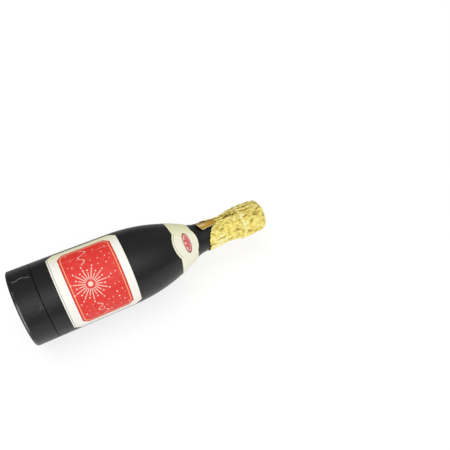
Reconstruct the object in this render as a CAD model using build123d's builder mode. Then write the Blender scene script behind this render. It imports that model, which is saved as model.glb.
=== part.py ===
from build123d import *
from math import acos, cos, degrees, radians, sin
import os

# A twist-fired confetti popper in the shape of a bottle, lying on its side.
# Millimetres. X runs from the foot to the mouth, Z is up and the floor is Z = 0.
# Stations are counted along the bottle's axis from the foot. Turns about the
# axis count from the near side (-Y) over the top (+Z).

# Bottle outline
body_radius = 38.0
body_length = 99.0
crown_radius = 167.0
neck_fillet_radius = 30.0
neck_radius = 16.1
neck_taper = 6.6
neck_taper_length = 18.0
waist_curve_radius = 62.0
flare_angle = 8.9
flare_length = 13.0
cuff_curve_radius = 48.0
cuff_taper = 3.7
cuff_length = 12.6
shell_wall = 2.0

# Clearances
overrun = 2.0
slip_fit = 0.1
running_gap = 0.3
glue_gap = 0.1

# Twist base
base_height = 21.7
seam_gap = 0.3
seam_chamfer = 0.35
foot_edge_radius = 1.6
foot_width = 5.0
foot_recess = 2.0
base_floor = 2.4
base_wall = 2.2
rim_depth = 5.0
bead_start = 25.0
bead_width = 3.0
bead_depth = 1.0
spigot_wall = 2.0
hook_width = 3.0
hook_depth = 0.7
socket_wall = 2.0
socket_height = 13.0
base_rib_count = 8
base_rib_thickness = 1.6
base_rib_height = 11.0
twist_range = 90.0
stop_lug_arc = 16.0
stop_margin = 2.0
stop_lug_depth = 3.0

# Air can
pad_thickness = 1.0
can_radius = 22.0
can_body_length = 72.0
can_wall = 1.2
can_rim_radius = 3.0
can_dome_depth = 5.0
can_dome_rise = 2.0
can_neck_radius = 9.0
can_neck_length = 13.6
can_bore_radius = 6.5
fill_hole_radius = 2.5
plug_flange_radius = 4.5
plug_flange_thickness = 1.2
plug_tail_length = 2.0

# Stopper and its seal
stopper_reach = 6.0
head_radius = 9.0
head_edge = 1.3
head_bevel = 2.4
stopper_lift = 8.0
seal_cord_radius = 0.75
seal_offset = 2.4

# Latch that rides on the can's neck
collar_depth = 8.0
latch_radius = 14.8
jaw_half_width = 4.5
jaw_thickness = 4.5
jaw_travel = 3.0
jaw_tip_radius = 15.0
cap_thickness = 1.5
peg_radius = 1.2
peg_across = 9.5
peg_along = 6.5

# Cam ring and the bulkhead that carries it
cam_gap = 0.35
cam_ring_radius = 24.0
cam_pocket_side = 22.0
stake_count = 3
stake_radius = 1.5
stake_circle_radius = 21.2
plate_thickness = 3.0
throat_wall = 2.0
cage_fin_count = 4
cage_fin_thickness = 2.0
cage_bar_width = 3.0
cage_bar_depth = 2.0
funnel_length = 16.0
socket_depth = 12.0
wad_ledge = 1.0
gusset_count = 6
gusset_thickness = 1.6
gusset_height_share = 0.6
key_count = 3
key_width = 4.0
key_depth = 2.0
retaining_ring_thickness = 1.4
retaining_ring_width = 3.0
retaining_groove_depth = 0.8
retaining_ring_split = 12.0

# Barrel and its charge
barrel_wall = 1.0
barrel_inset = 3.5
wad_thickness = 3.0
disc_radius = 8.0
disc_sides = 12
disc_thickness = 0.4
disc_cycles = 11
disc_colours = ("silver", "blue", "silver", "green", "silver", "red", "silver", "gold")
disc_turn = 137.5
closing_thickness = 0.8
closing_recess = 18.0

# Labels
label_thickness = 0.2
label_start = 36.9
label_height = 67.8
label_turn_start = -19.0
label_turn = 144.0
label_corner = 5.0
neck_label_start = 154.8
neck_label_height = 22.0
medallion_station = 165.5
medallion_half_height = 14.3
medallion_half_width = 19.2
medallion_turn = 55.5

# Foil
foil_gap = 0.15
foil_thickness = 0.7
foil_edge_station = 192.5
foil_edge_tilt = 22.0
tab_start = 185.8
tab_length = 19.0
tab_turn_start = 83.0
tab_turn = 42.0
tab_corner = 4.5
tab_thickness = 0.4


# Stations and radii that follow from the outline
crown_turn = degrees(
    acos(
        (crown_radius + neck_fillet_radius * cos(radians(neck_taper)) - body_radius + neck_radius)
        / (crown_radius + neck_fillet_radius)
    )
)
neck_start = (
    body_length
    + (crown_radius + neck_fillet_radius) * sin(radians(crown_turn))
    - neck_fillet_radius * sin(radians(neck_taper))
)
waist_start = neck_start + neck_taper_length * cos(radians(neck_taper))
waist_radius = (
    neck_radius
    - neck_taper_length * sin(radians(neck_taper))
    - waist_curve_radius * (1 - cos(radians(neck_taper)))
)
flare_start = waist_start + waist_curve_radius * (
    sin(radians(neck_taper)) + sin(radians(flare_angle))
)
flare_start_radius = waist_radius + waist_curve_radius * (1 - cos(radians(flare_angle)))
cuff_start = flare_start + flare_length * cos(radians(flare_angle))
cuff_start_radius = flare_start_radius + flare_length * sin(radians(flare_angle))
lip_start = (
    cuff_start
    + cuff_curve_radius * (sin(radians(flare_angle)) + sin(radians(cuff_taper)))
    + cuff_length * cos(radians(cuff_taper))
)
lip_start_radius = (
    cuff_start_radius
    + cuff_curve_radius * (cos(radians(cuff_taper)) - cos(radians(flare_angle)))
    - cuff_length * sin(radians(cuff_taper))
)
mouth_bore_radius = waist_radius - shell_wall
lip_radius = (lip_start_radius - mouth_bore_radius) / cos(radians(cuff_taper))
shell_length = lip_start + lip_radius * (1 - sin(radians(cuff_taper)))
overall_length = shell_length + foil_gap + foil_thickness
shell_start = base_height + seam_gap
shell_inner_radius = body_radius - shell_wall

# Stations of the air can and its valve
floor_top = foot_recess + base_floor
can_start = floor_top + pad_thickness
can_shoulder_start = can_start + can_body_length
can_shoulder_radius = can_radius - can_neck_radius
can_top = can_shoulder_start + can_shoulder_radius + can_neck_length
jaw_bed = can_top + running_gap
jaw_start = jaw_bed + running_gap
jaw_end = jaw_start + jaw_thickness
cap_start = jaw_end + running_gap
cap_end = cap_start + cap_thickness
head_seat = can_top + running_gap
head_height = head_edge + head_bevel
stopper_radius = can_bore_radius - slip_fit
groove_depth = 2 * seal_cord_radius
jaw_hook_radius = head_radius - head_bevel + running_gap

# Stations of the bulkhead and the barrel
cam_closed_radius = jaw_tip_radius + cam_gap
cam_open_radius = cam_closed_radius + jaw_travel
throat_radius = latch_radius + 2 * running_gap
plate_start = jaw_end + running_gap
plate_end = plate_start + plate_thickness
cage_start = cap_end + running_gap
cage_stop = head_seat + head_height + stopper_lift + running_gap
funnel_start = cage_stop + cage_bar_depth
barrel_seat = funnel_start + funnel_length
barrel_radius = mouth_bore_radius - slip_fit
barrel_bore_radius = barrel_radius - barrel_wall
barrel_end = shell_length - barrel_inset
wad_start = barrel_seat + running_gap
wad_radius = barrel_bore_radius - running_gap
closing_start = shell_length - closing_recess - closing_thickness

foot_centre = (-overall_length / 2, 0, body_radius)
turn_axis = Axis(foot_centre, (-1, 0, 0))


def station(distance, lift=0):
    """Plane across the bottle, facing the mouth, its own y upwards."""
    return Plane(
        origin=(distance - overall_length / 2, 0, body_radius + lift),
        x_dir=(0, 1, 0),
        z_dir=(1, 0, 0),
    )


def profile(turn=90, lift=0):
    """Plane through the axis: x is the station and y the radius, at a turn round the bottle."""
    return Plane(
        origin=(-overall_length / 2, 0, body_radius + lift),
        x_dir=(1, 0, 0),
        z_dir=(0, -sin(radians(turn)), -cos(radians(turn))),
    )


def facing(turn):
    """Plane through the axis that faces out at a turn: x is the station, y runs round."""
    return Plane(
        origin=foot_centre,
        x_dir=(1, 0, 0),
        z_dir=(0, -cos(radians(turn)), sin(radians(turn))),
    )


def polar(radius, angle):
    return (radius * cos(radians(angle)), radius * sin(radians(angle)))


def crown_drop(distance):
    """How far the crown curve has fallen below the body at a station before the neck."""
    past = max(distance - body_length, 0)
    return crown_radius - (crown_radius**2 - past**2) ** 0.5


def bottle_outline(inset, start):
    """Adds the outline from a station on the body to the cuff's end, set in by a wall."""
    body = Line((start, body_radius - inset), (body_length, body_radius - inset))
    crown = JernArc(body @ 1, body % 1, crown_radius - inset, -crown_turn)
    hollow = JernArc(crown @ 1, crown % 1, neck_fillet_radius + inset, crown_turn - neck_taper)
    taper = Line(hollow @ 1, hollow @ 1 + (hollow % 1) * neck_taper_length)
    waist = JernArc(taper @ 1, taper % 1, waist_curve_radius + inset, neck_taper + flare_angle)
    flare = Line(waist @ 1, waist @ 1 + (waist % 1) * flare_length)
    swell = JernArc(flare @ 1, flare % 1, cuff_curve_radius - inset, -(flare_angle + cuff_taper))
    cuff = Line(swell @ 1, swell @ 1 + (swell % 1) * cuff_length)
    return body, cuff


def lip_arc(cuff, inset):
    """Adds the rounded lip, from the cuff's end round to the mouth."""
    return JernArc(cuff @ 1, cuff % 1, lip_radius - inset, -(90 - cuff_taper))


def skin_face(gap, thickness):
    """Face of a skin that lies on the outside of the bottle, round the lip."""
    with BuildLine() as skin:
        inside_body, inside_cuff = bottle_outline(-gap, shell_start)
        inside_lip = lip_arc(inside_cuff, -gap)
        outside_body, outside_cuff = bottle_outline(-gap - thickness, shell_start)
        outside_lip = lip_arc(outside_cuff, -gap - thickness)
        Line(inside_body @ 0, outside_body @ 0)
        Line(inside_lip @ 1, outside_lip @ 1)
    make_face(skin.edges())


def keep_stations(start, end):
    """Keeps what a profile sketch has between two stations."""
    with Locations(((start + end) / 2, body_radius)):
        Rectangle(end - start, 4 * body_radius, mode=Mode.INTERSECT)


def arc_band(inner_radius, outer_radius, first_angle, arc_size):
    """Adds a curved band to a sketch across the axis."""
    with BuildLine() as band:
        inside = CenterArc((0, 0), inner_radius, first_angle, arc_size)
        outside = CenterArc((0, 0), outer_radius, first_angle, arc_size)
        Line(inside @ 0, outside @ 0)
        Line(inside @ 1, outside @ 1)
    make_face(band.edges())


def save(piece, name):
    piece.part.label = name
    export_step(piece.part, f"parts/{name}.step")


os.makedirs("parts", exist_ok=True)

# Bottle shell: one moulded wall from the seam to the rounded lip.
plate_radius = shell_inner_radius - crown_drop(plate_end) - running_gap
groove_radius = shell_inner_radius - crown_drop(plate_start) + retaining_groove_depth
ring_end = plate_start - slip_fit
ring_start = ring_end - retaining_ring_thickness
bead_end = bead_start + bead_width
bead_radius = shell_inner_radius - bead_depth
key_radius = plate_radius - key_depth

with BuildPart() as bottle_shell:
    with BuildSketch(profile()):
        with BuildLine():
            outer_body, outer_cuff = bottle_outline(0, shell_start)
            outer_lip = lip_arc(outer_cuff, 0)
            inner_body, inner_cuff = bottle_outline(shell_wall, shell_start)
            bore_end = ((inner_cuff @ 1).X, mouth_bore_radius)
            Line(outer_body @ 0, inner_body @ 0)
            Line(inner_cuff @ 1, bore_end)
            Line(bore_end, outer_lip @ 1)
        make_face()
    revolve(axis=turn_axis)
    with BuildSketch(station(bead_start)):
        Circle(shell_inner_radius + shell_wall / 2)
        Circle(bead_radius, mode=Mode.SUBTRACT)
    extrude(amount=bead_width)
    with BuildSketch(station(bead_start)):
        for side in (0, 180):
            arc_band(
                shell_inner_radius - stop_lug_depth,
                shell_inner_radius + shell_wall / 2,
                side - stop_lug_arc / 2,
                stop_lug_arc,
            )
    extrude(amount=bead_width)
    key_root_radius = shell_inner_radius + shell_wall / 2
    with BuildSketch(station(plate_start)):
        with PolarLocations((key_radius + key_root_radius) / 2, key_count):
            Rectangle(key_root_radius - key_radius, key_width)
    extrude(amount=plate_thickness)
    with BuildSketch(station(ring_start - slip_fit)):
        Circle(groove_radius)
        Circle(key_radius, mode=Mode.SUBTRACT)
    extrude(amount=retaining_ring_thickness + 2 * slip_fit, mode=Mode.SUBTRACT)
    seam_edge = bottle_shell.edges().group_by(Axis.X)[0].sort_by(SortBy.RADIUS)[-1]
    chamfer(seam_edge, length=seam_chamfer)
save(bottle_shell, "bottle_shell")

# Twist base: a cup that closes the bottle. Its hooks snap over the shell's bead,
# and the gaps between them run against the shell's lugs.
spigot_radius = bead_radius - running_gap
spigot_bore_radius = spigot_radius - spigot_wall
hook_start = bead_end + running_gap
hook_end = hook_start + hook_width
hook_radius = bead_radius + hook_depth
stop_gap_start = -stop_lug_arc / 2 - stop_margin
stop_gap_arc = twist_range + stop_lug_arc + 2 * stop_margin
socket_bore_radius = can_radius + slip_fit
foot_inner_radius = body_radius - foot_edge_radius - foot_width

with BuildPart() as twist_base:
    with BuildSketch(profile()):
        with BuildLine():
            foot_corner = (0, body_radius - foot_edge_radius)
            foot_edge = JernArc(foot_corner, (0, 1), foot_edge_radius, -90)
            Polyline(
                foot_edge @ 1,
                (base_height, body_radius),
                (base_height, spigot_radius),
                (hook_start, spigot_radius),
                (hook_start, hook_radius),
                (hook_end, spigot_radius),
                (hook_end, spigot_bore_radius),
                (base_height - rim_depth, spigot_bore_radius),
                (base_height - rim_depth, body_radius - base_wall),
                (floor_top, body_radius - base_wall),
                (floor_top, 0),
                (foot_recess, 0),
                (foot_recess, foot_inner_radius),
                (0, foot_inner_radius),
                foot_corner,
            )
        make_face()
    revolve(axis=turn_axis)
    rim_edge = twist_base.edges().filter_by(GeomType.CIRCLE).filter_by(
        lambda edge: abs(edge.radius - body_radius) < slip_fit
    )
    chamfer(rim_edge.sort_by(Axis.X)[-1], length=seam_chamfer)
    with BuildSketch(station(base_height + seam_gap)):
        for side in (0, 180):
            arc_band(
                spigot_bore_radius - overrun,
                hook_radius + overrun,
                side + stop_gap_start,
                stop_gap_arc,
            )
    extrude(amount=hook_end - base_height, mode=Mode.SUBTRACT)
    with BuildSketch(station(floor_top)):
        Circle(socket_bore_radius + socket_wall)
        Circle(socket_bore_radius, mode=Mode.SUBTRACT)
    extrude(amount=socket_height)
    rib_inner_radius = socket_bore_radius + socket_wall / 2
    rib_outer_radius = body_radius - base_wall / 2
    with BuildSketch(station(floor_top)):
        with PolarLocations((rib_inner_radius + rib_outer_radius) / 2, base_rib_count):
            Rectangle(rib_outer_radius - rib_inner_radius, base_rib_thickness)
    extrude(amount=base_rib_height)
save(twist_base, "twist_base")

# Foam pad under the can.
with BuildPart() as base_pad:
    with BuildSketch(station(floor_top)):
        Circle(can_radius - can_rim_radius)
        Circle(plug_flange_radius + running_gap, mode=Mode.SUBTRACT)
    extrude(amount=pad_thickness)
save(base_pad, "base_pad")

# Air can: drawn aluminium with a domed bottom, a round shoulder and a thick neck.
with BuildPart() as air_can:
    with BuildSketch(profile()):
        with BuildLine():
            dome_outside = (can_start + can_dome_depth, fill_hole_radius)
            dome_inside = (can_start + can_dome_depth + can_wall, fill_hole_radius)
            rim_outside = (can_start, can_radius - can_rim_radius)
            rim_inside = (can_start + can_wall, can_radius - can_rim_radius)
            SagittaArc(dome_outside, rim_outside, -can_dome_rise)
            SagittaArc(dome_inside, rim_inside, -can_dome_rise)
            Line(dome_outside, dome_inside)
            outer_rim = JernArc(rim_outside, (0, 1), can_rim_radius, -90)
            inner_rim = JernArc(rim_inside, (0, 1), can_rim_radius - can_wall, -90)
            outer_wall = Line(outer_rim @ 1, (can_shoulder_start, can_radius))
            inner_wall = Line(inner_rim @ 1, (can_shoulder_start, can_radius - can_wall))
            outer_round = JernArc(outer_wall @ 1, (1, 0), can_shoulder_radius, -90)
            inner_round = JernArc(inner_wall @ 1, (1, 0), can_shoulder_radius - can_wall, -90)
            Polyline(
                outer_round @ 1,
                (can_top, can_neck_radius),
                (can_top, can_bore_radius),
                ((inner_round @ 1).X, can_bore_radius),
                inner_round @ 1,
            )
        make_face()
    revolve(axis=turn_axis)
save(air_can, "air_can")

# Rubber plug through which the can is filled.
plug_seat = can_start + can_dome_depth
with BuildPart() as fill_plug:
    with BuildSketch(station(plug_seat - plug_flange_thickness - slip_fit)):
        Circle(plug_flange_radius)
    extrude(amount=plug_flange_thickness)
    with BuildSketch(station(plug_seat - slip_fit)):
        Circle(fill_hole_radius - slip_fit)
    extrude(amount=can_wall + plug_tail_length)
save(fill_plug, "fill_plug")

# Valve collar: a sleeve on the can's neck with a channel for the two jaws.
peg_places = [(x, y) for x in (-peg_across, peg_across) for y in (-peg_along, peg_along)]
with BuildPart() as valve_collar:
    with BuildSketch(station(can_top - collar_depth)):
        Circle(latch_radius)
        Circle(can_neck_radius + slip_fit, mode=Mode.SUBTRACT)
    extrude(amount=collar_depth + cap_start - can_top)
    with BuildSketch(station(jaw_bed)):
        Circle(head_radius + 2 * running_gap)
        Rectangle(2 * (jaw_half_width + slip_fit), 2 * (latch_radius + overrun))
    extrude(amount=cap_start - jaw_bed, mode=Mode.SUBTRACT)
    with BuildSketch(station(cap_start)):
        with Locations(*peg_places):
            Circle(peg_radius)
    extrude(amount=cap_thickness)
save(valve_collar, "valve_collar")

# Collar cap: keeps the jaws in their channel, staked over the collar's pegs.
with BuildPart() as collar_cap:
    with BuildSketch(station(cap_start)):
        Circle(latch_radius)
        Circle(head_radius + running_gap, mode=Mode.SUBTRACT)
        with Locations(*peg_places):
            Circle(peg_radius + slip_fit, mode=Mode.SUBTRACT)
    extrude(amount=cap_thickness)
save(collar_cap, "collar_cap")

# Latch jaws, drawn apart: each hook has the bevel of the stopper's head and its
# rounded nose runs in the cam ring.
bevel_start = head_seat + head_edge + running_gap
bevel_end = bevel_start + head_radius + running_gap - jaw_hook_radius
for name, side in (("latch_jaw_upper", 1), ("latch_jaw_lower", -1)):
    shift = side * jaw_travel
    with BuildPart() as latch_jaw:
        with BuildSketch(station(jaw_start, shift)):
            with Locations((0, side * (jaw_tip_radius - jaw_half_width))):
                Circle(jaw_half_width)
            with Locations((0, side * (jaw_tip_radius - jaw_half_width) / 2)):
                Rectangle(2 * jaw_half_width, jaw_tip_radius - jaw_half_width)
        extrude(amount=jaw_thickness)
        with BuildSketch(profile(lift=shift)):
            with BuildLine():
                Polyline(
                    (jaw_start - overrun, 0),
                    (jaw_start - overrun, head_radius + running_gap),
                    (bevel_start, head_radius + running_gap),
                    (bevel_end, jaw_hook_radius),
                    (jaw_end + overrun, jaw_hook_radius),
                    (jaw_end + overrun, 0),
                    close=True,
                )
            make_face()
        hook_axis = Axis((0, 0, body_radius + shift), (1, 0, 0))
        revolve(axis=hook_axis, mode=Mode.SUBTRACT)
    save(latch_jaw, name)

# Stopper, lifted off the can's bore as it stands after firing.
groove_start = head_seat + stopper_lift - stopper_reach + seal_offset - groove_depth
groove_end = groove_start + groove_depth + slip_fit
stopper_start = head_seat + stopper_lift - stopper_reach
head_start = head_seat + stopper_lift
groove_radius_inner = stopper_radius - groove_depth
with BuildPart() as stopper:
    with BuildSketch(profile()):
        with BuildLine():
            Polyline(
                (stopper_start, 0),
                (stopper_start, stopper_radius),
                (groove_start, stopper_radius),
                (groove_start, groove_radius_inner),
                (groove_end, groove_radius_inner),
                (groove_end, stopper_radius),
                (head_start, stopper_radius),
                (head_start, head_radius),
                (head_start + head_edge, head_radius),
                (head_start + head_height, head_radius - head_bevel),
                (head_start + head_height, 0),
                close=True,
            )
        make_face()
    revolve(axis=turn_axis)
save(stopper, "stopper")

# Rubber ring in the stopper's groove.
with BuildPart() as stopper_ring:
    with BuildSketch(profile()):
        with Locations(((groove_start + groove_end) / 2, stopper_radius - seal_cord_radius)):
            Circle(seal_cord_radius)
    revolve(axis=turn_axis)
save(stopper_ring, "stopper_ring")

# Cam ring: two spirals that close the jaws as the base is turned back.
with BuildPart() as cam_ring:
    with BuildSketch(station(jaw_start)):
        Circle(cam_ring_radius)
        with BuildLine():
            for pocket in (90, 270):
                ThreePointArc(
                    polar(cam_open_radius, pocket),
                    polar((cam_open_radius + cam_closed_radius) / 2, pocket - twist_range / 2),
                    polar(cam_closed_radius, pocket - twist_range),
                )
                wall_angle = pocket - 180 + cam_pocket_side
                CenterArc(
                    (0, 0), cam_closed_radius, wall_angle, pocket - twist_range - wall_angle
                )
                Line(polar(cam_closed_radius, wall_angle), polar(cam_open_radius, wall_angle))
                CenterArc((0, 0), cam_open_radius, pocket - 180, cam_pocket_side)
        make_face(mode=Mode.SUBTRACT)
    extrude(amount=plate_start - jaw_start)
    with BuildSketch(station(plate_start)):
        with PolarLocations(stake_circle_radius, stake_count):
            Circle(stake_radius)
    extrude(amount=plate_thickness)
save(cam_ring, "cam_ring")

# Bulkhead: plate, cage for the stopper, and a funnel that leads into the barrel.
throat_outer_radius = throat_radius + throat_wall
barrel_socket_radius = barrel_radius + slip_fit
with BuildPart() as bulkhead:
    with BuildSketch(profile()):
        with BuildLine():
            Polyline(
                (plate_start, throat_radius),
                (plate_start, plate_radius),
                (plate_end, plate_radius),
                (plate_end, throat_outer_radius),
                (funnel_start, throat_outer_radius),
                (barrel_seat, barrel_socket_radius + throat_wall),
                (barrel_seat + socket_depth, barrel_socket_radius + throat_wall),
                (barrel_seat + socket_depth, barrel_socket_radius),
                (barrel_seat, barrel_socket_radius),
                (barrel_seat, barrel_bore_radius - wad_ledge),
                (funnel_start, throat_radius),
                close=True,
            )
        make_face()
    revolve(axis=turn_axis)
    fin_inner_radius = head_radius + running_gap
    fin_outer_radius = throat_radius + throat_wall / 2
    with BuildSketch(station(cage_start)):
        with PolarLocations((fin_inner_radius + fin_outer_radius) / 2, cage_fin_count):
            Rectangle(fin_outer_radius - fin_inner_radius, cage_fin_thickness)
    extrude(amount=cage_stop - cage_start)
    with BuildSketch(station(cage_stop)):
        Rectangle(2 * fin_outer_radius, cage_bar_width)
        Rectangle(cage_bar_width, 2 * fin_outer_radius)
    extrude(amount=cage_bar_depth)
    gusset_top = plate_end + gusset_height_share * (barrel_seat - plate_end)
    gusset_root_radius = barrel_socket_radius + throat_wall / 2
    for number in range(gusset_count):
        with BuildSketch(profile(turn=360 * number / gusset_count)):
            with BuildLine():
                Polyline(
                    (plate_end - plate_thickness / 2, gusset_root_radius + throat_wall * 2),
                    (plate_end - plate_thickness / 2, plate_radius - key_depth - overrun),
                    (plate_end, plate_radius - key_depth - overrun),
                    (gusset_top, gusset_root_radius + throat_wall),
                    close=True,
                )
            make_face()
        extrude(amount=gusset_thickness / 2, both=True)
    with BuildSketch(station(plate_start)):
        with PolarLocations(plate_radius, key_count):
            Rectangle(2 * (key_depth + running_gap), key_width + 2 * running_gap)
        with PolarLocations(stake_circle_radius, stake_count):
            Circle(stake_radius + slip_fit)
    extrude(amount=plate_thickness, mode=Mode.SUBTRACT)
save(bulkhead, "bulkhead")

# Split ring that snaps into the shell under the bulkhead.
with BuildPart() as retaining_ring:
    with BuildSketch(station(ring_start)):
        arc_band(
            groove_radius - slip_fit - retaining_ring_width,
            groove_radius - slip_fit,
            retaining_ring_split / 2,
            360 - retaining_ring_split,
        )
    extrude(amount=retaining_ring_thickness)
save(retaining_ring, "retaining_ring")

# Barrel: a card tube from the bulkhead's socket to just inside the mouth.
with BuildPart() as barrel_tube:
    with BuildSketch(station(barrel_seat + slip_fit)):
        Circle(barrel_radius)
        Circle(barrel_bore_radius, mode=Mode.SUBTRACT)
    extrude(amount=barrel_end - barrel_seat - slip_fit)
save(barrel_tube, "barrel_tube")

# Card wad that the air pushes along the barrel.
with BuildPart() as wad:
    with BuildSketch(station(wad_start)):
        Circle(wad_radius)
    extrude(amount=wad_thickness)
save(wad, "wad")

# Foil discs of the charge, stacked out of line, one node for each colour.
disc_count = disc_cycles * len(disc_colours)
charge_start = wad_start + wad_thickness
disc_pitch = (closing_start - charge_start) / disc_count
disc_play = wad_radius - disc_radius - slip_fit
for colour in sorted(set(disc_colours)):
    with BuildPart() as confetti:
        for number in range(disc_count):
            if disc_colours[number % len(disc_colours)] == colour:
                place = charge_start + (number + 1 / 2) * disc_pitch - disc_thickness / 2
                with BuildSketch(station(place)):
                    with Locations(polar(disc_play, number * disc_turn)):
                        RegularPolygon(disc_radius, disc_sides)
                extrude(amount=disc_thickness)
    save(confetti, f"confetti_{colour}")

# Card disc that closes the charge, set back in the mouth.
with BuildPart() as closing_disc:
    with BuildSketch(station(closing_start)):
        Circle(wad_radius)
    extrude(amount=closing_thickness)
save(closing_disc, "closing_disc")

# Main label: paper with clipped corners, glued on the body.
with BuildPart() as main_label:
    with BuildSketch(profile(label_turn_start)):
        skin_face(glue_gap, label_thickness)
        keep_stations(label_start, label_start + label_height)
    revolve(axis=turn_axis, revolution_arc=label_turn)
    for turn in (label_turn_start, label_turn_start + label_turn):
        with BuildSketch(facing(turn)):
            with Locations((label_start, 0), (label_start + label_height, 0)):
                RegularPolygon(label_corner, 4)
        extrude(amount=2 * body_radius, mode=Mode.SUBTRACT)
save(main_label, "main_label")

# Neck label: a band right round with a medallion on the near side.
with BuildPart() as neck_label_room:
    with BuildSketch(facing(medallion_turn)):
        with Locations((medallion_station, 0)):
            Ellipse(medallion_half_height, medallion_half_width)
    extrude(amount=2 * body_radius)
    with BuildSketch(station(neck_label_start)):
        Circle(2 * body_radius)
    extrude(amount=neck_label_height)

with BuildPart() as neck_label:
    with BuildSketch(profile()):
        skin_face(glue_gap, label_thickness)
        keep_stations(
            medallion_station - medallion_half_height, medallion_station + medallion_half_height
        )
    revolve(axis=turn_axis)
    add(neck_label_room.part, mode=Mode.INTERSECT)
save(neck_label, "neck_label")

# Gold foil over the neck and the lip, its edge cut on a slant.
edge_plane = Plane(
    origin=(foil_edge_station - overall_length / 2, 0, body_radius),
    z_dir=(cos(radians(foil_edge_tilt)), 0, -sin(radians(foil_edge_tilt))),
)
with BuildPart() as foil_wrap:
    with BuildSketch(profile()):
        skin_face(foil_gap, foil_thickness)
        keep_stations(neck_label_start + neck_label_height, overall_length + overrun)
    revolve(axis=turn_axis)
    split(bisect_by=edge_plane, keep=Keep.TOP)
save(foil_wrap, "foil_wrap")

# Tear tab: the foil's loose end, laid back over the neck, with a pointed tip.
with BuildPart() as foil_tab:
    with BuildSketch(profile(tab_turn_start)):
        skin_face(2 * foil_gap + foil_thickness, tab_thickness)
        keep_stations(tab_start, tab_start + tab_length)
    revolve(axis=turn_axis, revolution_arc=tab_turn)
    for turn in (tab_turn_start, tab_turn_start + tab_turn):
        with BuildSketch(facing(turn)):
            with Locations((tab_start, 0)):
                RegularPolygon(tab_corner, 4)
        extrude(amount=body_radius, mode=Mode.SUBTRACT)
save(foil_tab, "foil_tab")
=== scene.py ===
from math import cos, hypot, pi, radians, sin

import bmesh
import bpy
import numpy as np
from mathutils import Matrix, Vector
from mathutils.geometry import delaunay_2d_cdt


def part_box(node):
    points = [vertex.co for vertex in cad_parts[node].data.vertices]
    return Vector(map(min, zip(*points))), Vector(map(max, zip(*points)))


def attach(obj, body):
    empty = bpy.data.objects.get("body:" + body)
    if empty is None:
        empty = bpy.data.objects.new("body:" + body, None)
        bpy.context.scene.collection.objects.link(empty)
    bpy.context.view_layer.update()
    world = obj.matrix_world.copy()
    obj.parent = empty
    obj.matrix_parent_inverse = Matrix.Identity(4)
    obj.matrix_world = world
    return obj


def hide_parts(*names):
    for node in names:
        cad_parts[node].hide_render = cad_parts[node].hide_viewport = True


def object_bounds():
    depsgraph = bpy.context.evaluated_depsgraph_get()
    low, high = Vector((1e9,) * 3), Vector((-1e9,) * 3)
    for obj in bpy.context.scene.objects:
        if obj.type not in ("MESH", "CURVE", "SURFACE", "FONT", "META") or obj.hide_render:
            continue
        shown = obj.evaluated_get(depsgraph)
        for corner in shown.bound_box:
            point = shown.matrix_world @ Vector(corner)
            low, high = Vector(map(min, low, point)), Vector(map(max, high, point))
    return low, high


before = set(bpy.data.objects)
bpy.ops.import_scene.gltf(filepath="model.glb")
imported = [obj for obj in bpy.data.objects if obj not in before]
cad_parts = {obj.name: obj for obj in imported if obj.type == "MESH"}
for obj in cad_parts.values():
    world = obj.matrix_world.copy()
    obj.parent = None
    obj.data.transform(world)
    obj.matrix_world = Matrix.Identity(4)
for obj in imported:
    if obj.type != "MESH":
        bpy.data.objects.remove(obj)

cad_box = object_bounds()

# Twist base: the black moulded cup below the seam that is turned to fire.
# Satin plastic, scuffed by the hand, with one long scratch on top, a painted
# highlight along the foot edge and turned rings in the sunk foot.
mm = 0.001
foot = cad_box[0].x
axis_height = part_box("twist_base")[1].z / 2
plastic_ior = 1.42
black, scuffed_grey = (0.0045, 0.0045, 0.0045), (0.055, 0.055, 0.053)
edge_highlight_grey, scratched_grey = (0.27, 0.27, 0.27), (0.15, 0.14, 0.12)
scratch_turn, scratch_wander = 91.5, 11.0
scratch_stations = (3.0, 5.0, 18.0, 20.5)
rub_stations, rub_turns = (15.0, 19.5), (40.0, 47.0, 50.0, 58.0)
# where the painted highlight along the foot edge lies: its stations, radii and turns
edge_stations, edge_radii = (1.0, 1.5, 2.1, 2.8), (36.4, 37.0)
edge_turns = (15.0, 35.0, 55.0, 70.0)
foot_ring_pitch, foot_ring_height = 2.4, 0.35
foot_ring_stations = (2.2, 2.6)


def add(tree, kind, wires=None, **settings):
    """Adds a node with its settings, joins or sets its sockets, and gives its outputs."""
    made = tree.nodes.new(kind if "Node" in kind else "ShaderNode" + kind)
    for name, value in settings.items():
        setattr(made, name, value)
    for name, value in (wires or {}).items():
        if isinstance(value, bpy.types.NodeSocket):
            tree.links.new(value, made.inputs[name])
        else:
            made.inputs[name].default_value = value
    return made.outputs


def work_out(tree, operation, *values, clamp=False):
    """The result of a Math node."""
    return add(tree, "Math", dict(enumerate(values)), operation=operation, use_clamp=clamp)[0]


def times(tree, first, *others):
    """Values multiplied together."""
    for other in others:
        first = work_out(tree, "MULTIPLY", first, other)
    return first


def times_plus(tree, value, factor, more):
    """A value times a factor, and more added to it."""
    return work_out(tree, "MULTIPLY_ADD", value, factor, more)


def minus(tree, value, less):
    """A value with another taken off."""
    return work_out(tree, "SUBTRACT", value, less)


def away_from(tree, value, middle):
    """How far a value is from a middle, to either side."""
    return work_out(tree, "ABSOLUTE", minus(tree, value, middle))


def flat_length(tree, across, along):
    """The length of a line with these two sides."""
    line = add(tree, "CombineXYZ", {"X": across, "Y": along})[0]
    return add(tree, "VectorMath", {0: line}, operation="LENGTH")["Value"]


def ramp(tree, value, start, end, low=0.0, high=1.0):
    """A smooth step from low to high as a value goes from start to end."""
    wires = {"Value": value, "From Min": start, "From Max": end, "To Min": low, "To Max": high}
    return add(tree, "MapRange", wires, interpolation_type="SMOOTHSTEP")["Result"]


def window(tree, value, start, full, fading, end):
    """A mask that is up between two values, with soft sides."""
    return times(tree, ramp(tree, value, start, full), ramp(tree, value, fading, end, 1, 0))


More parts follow.
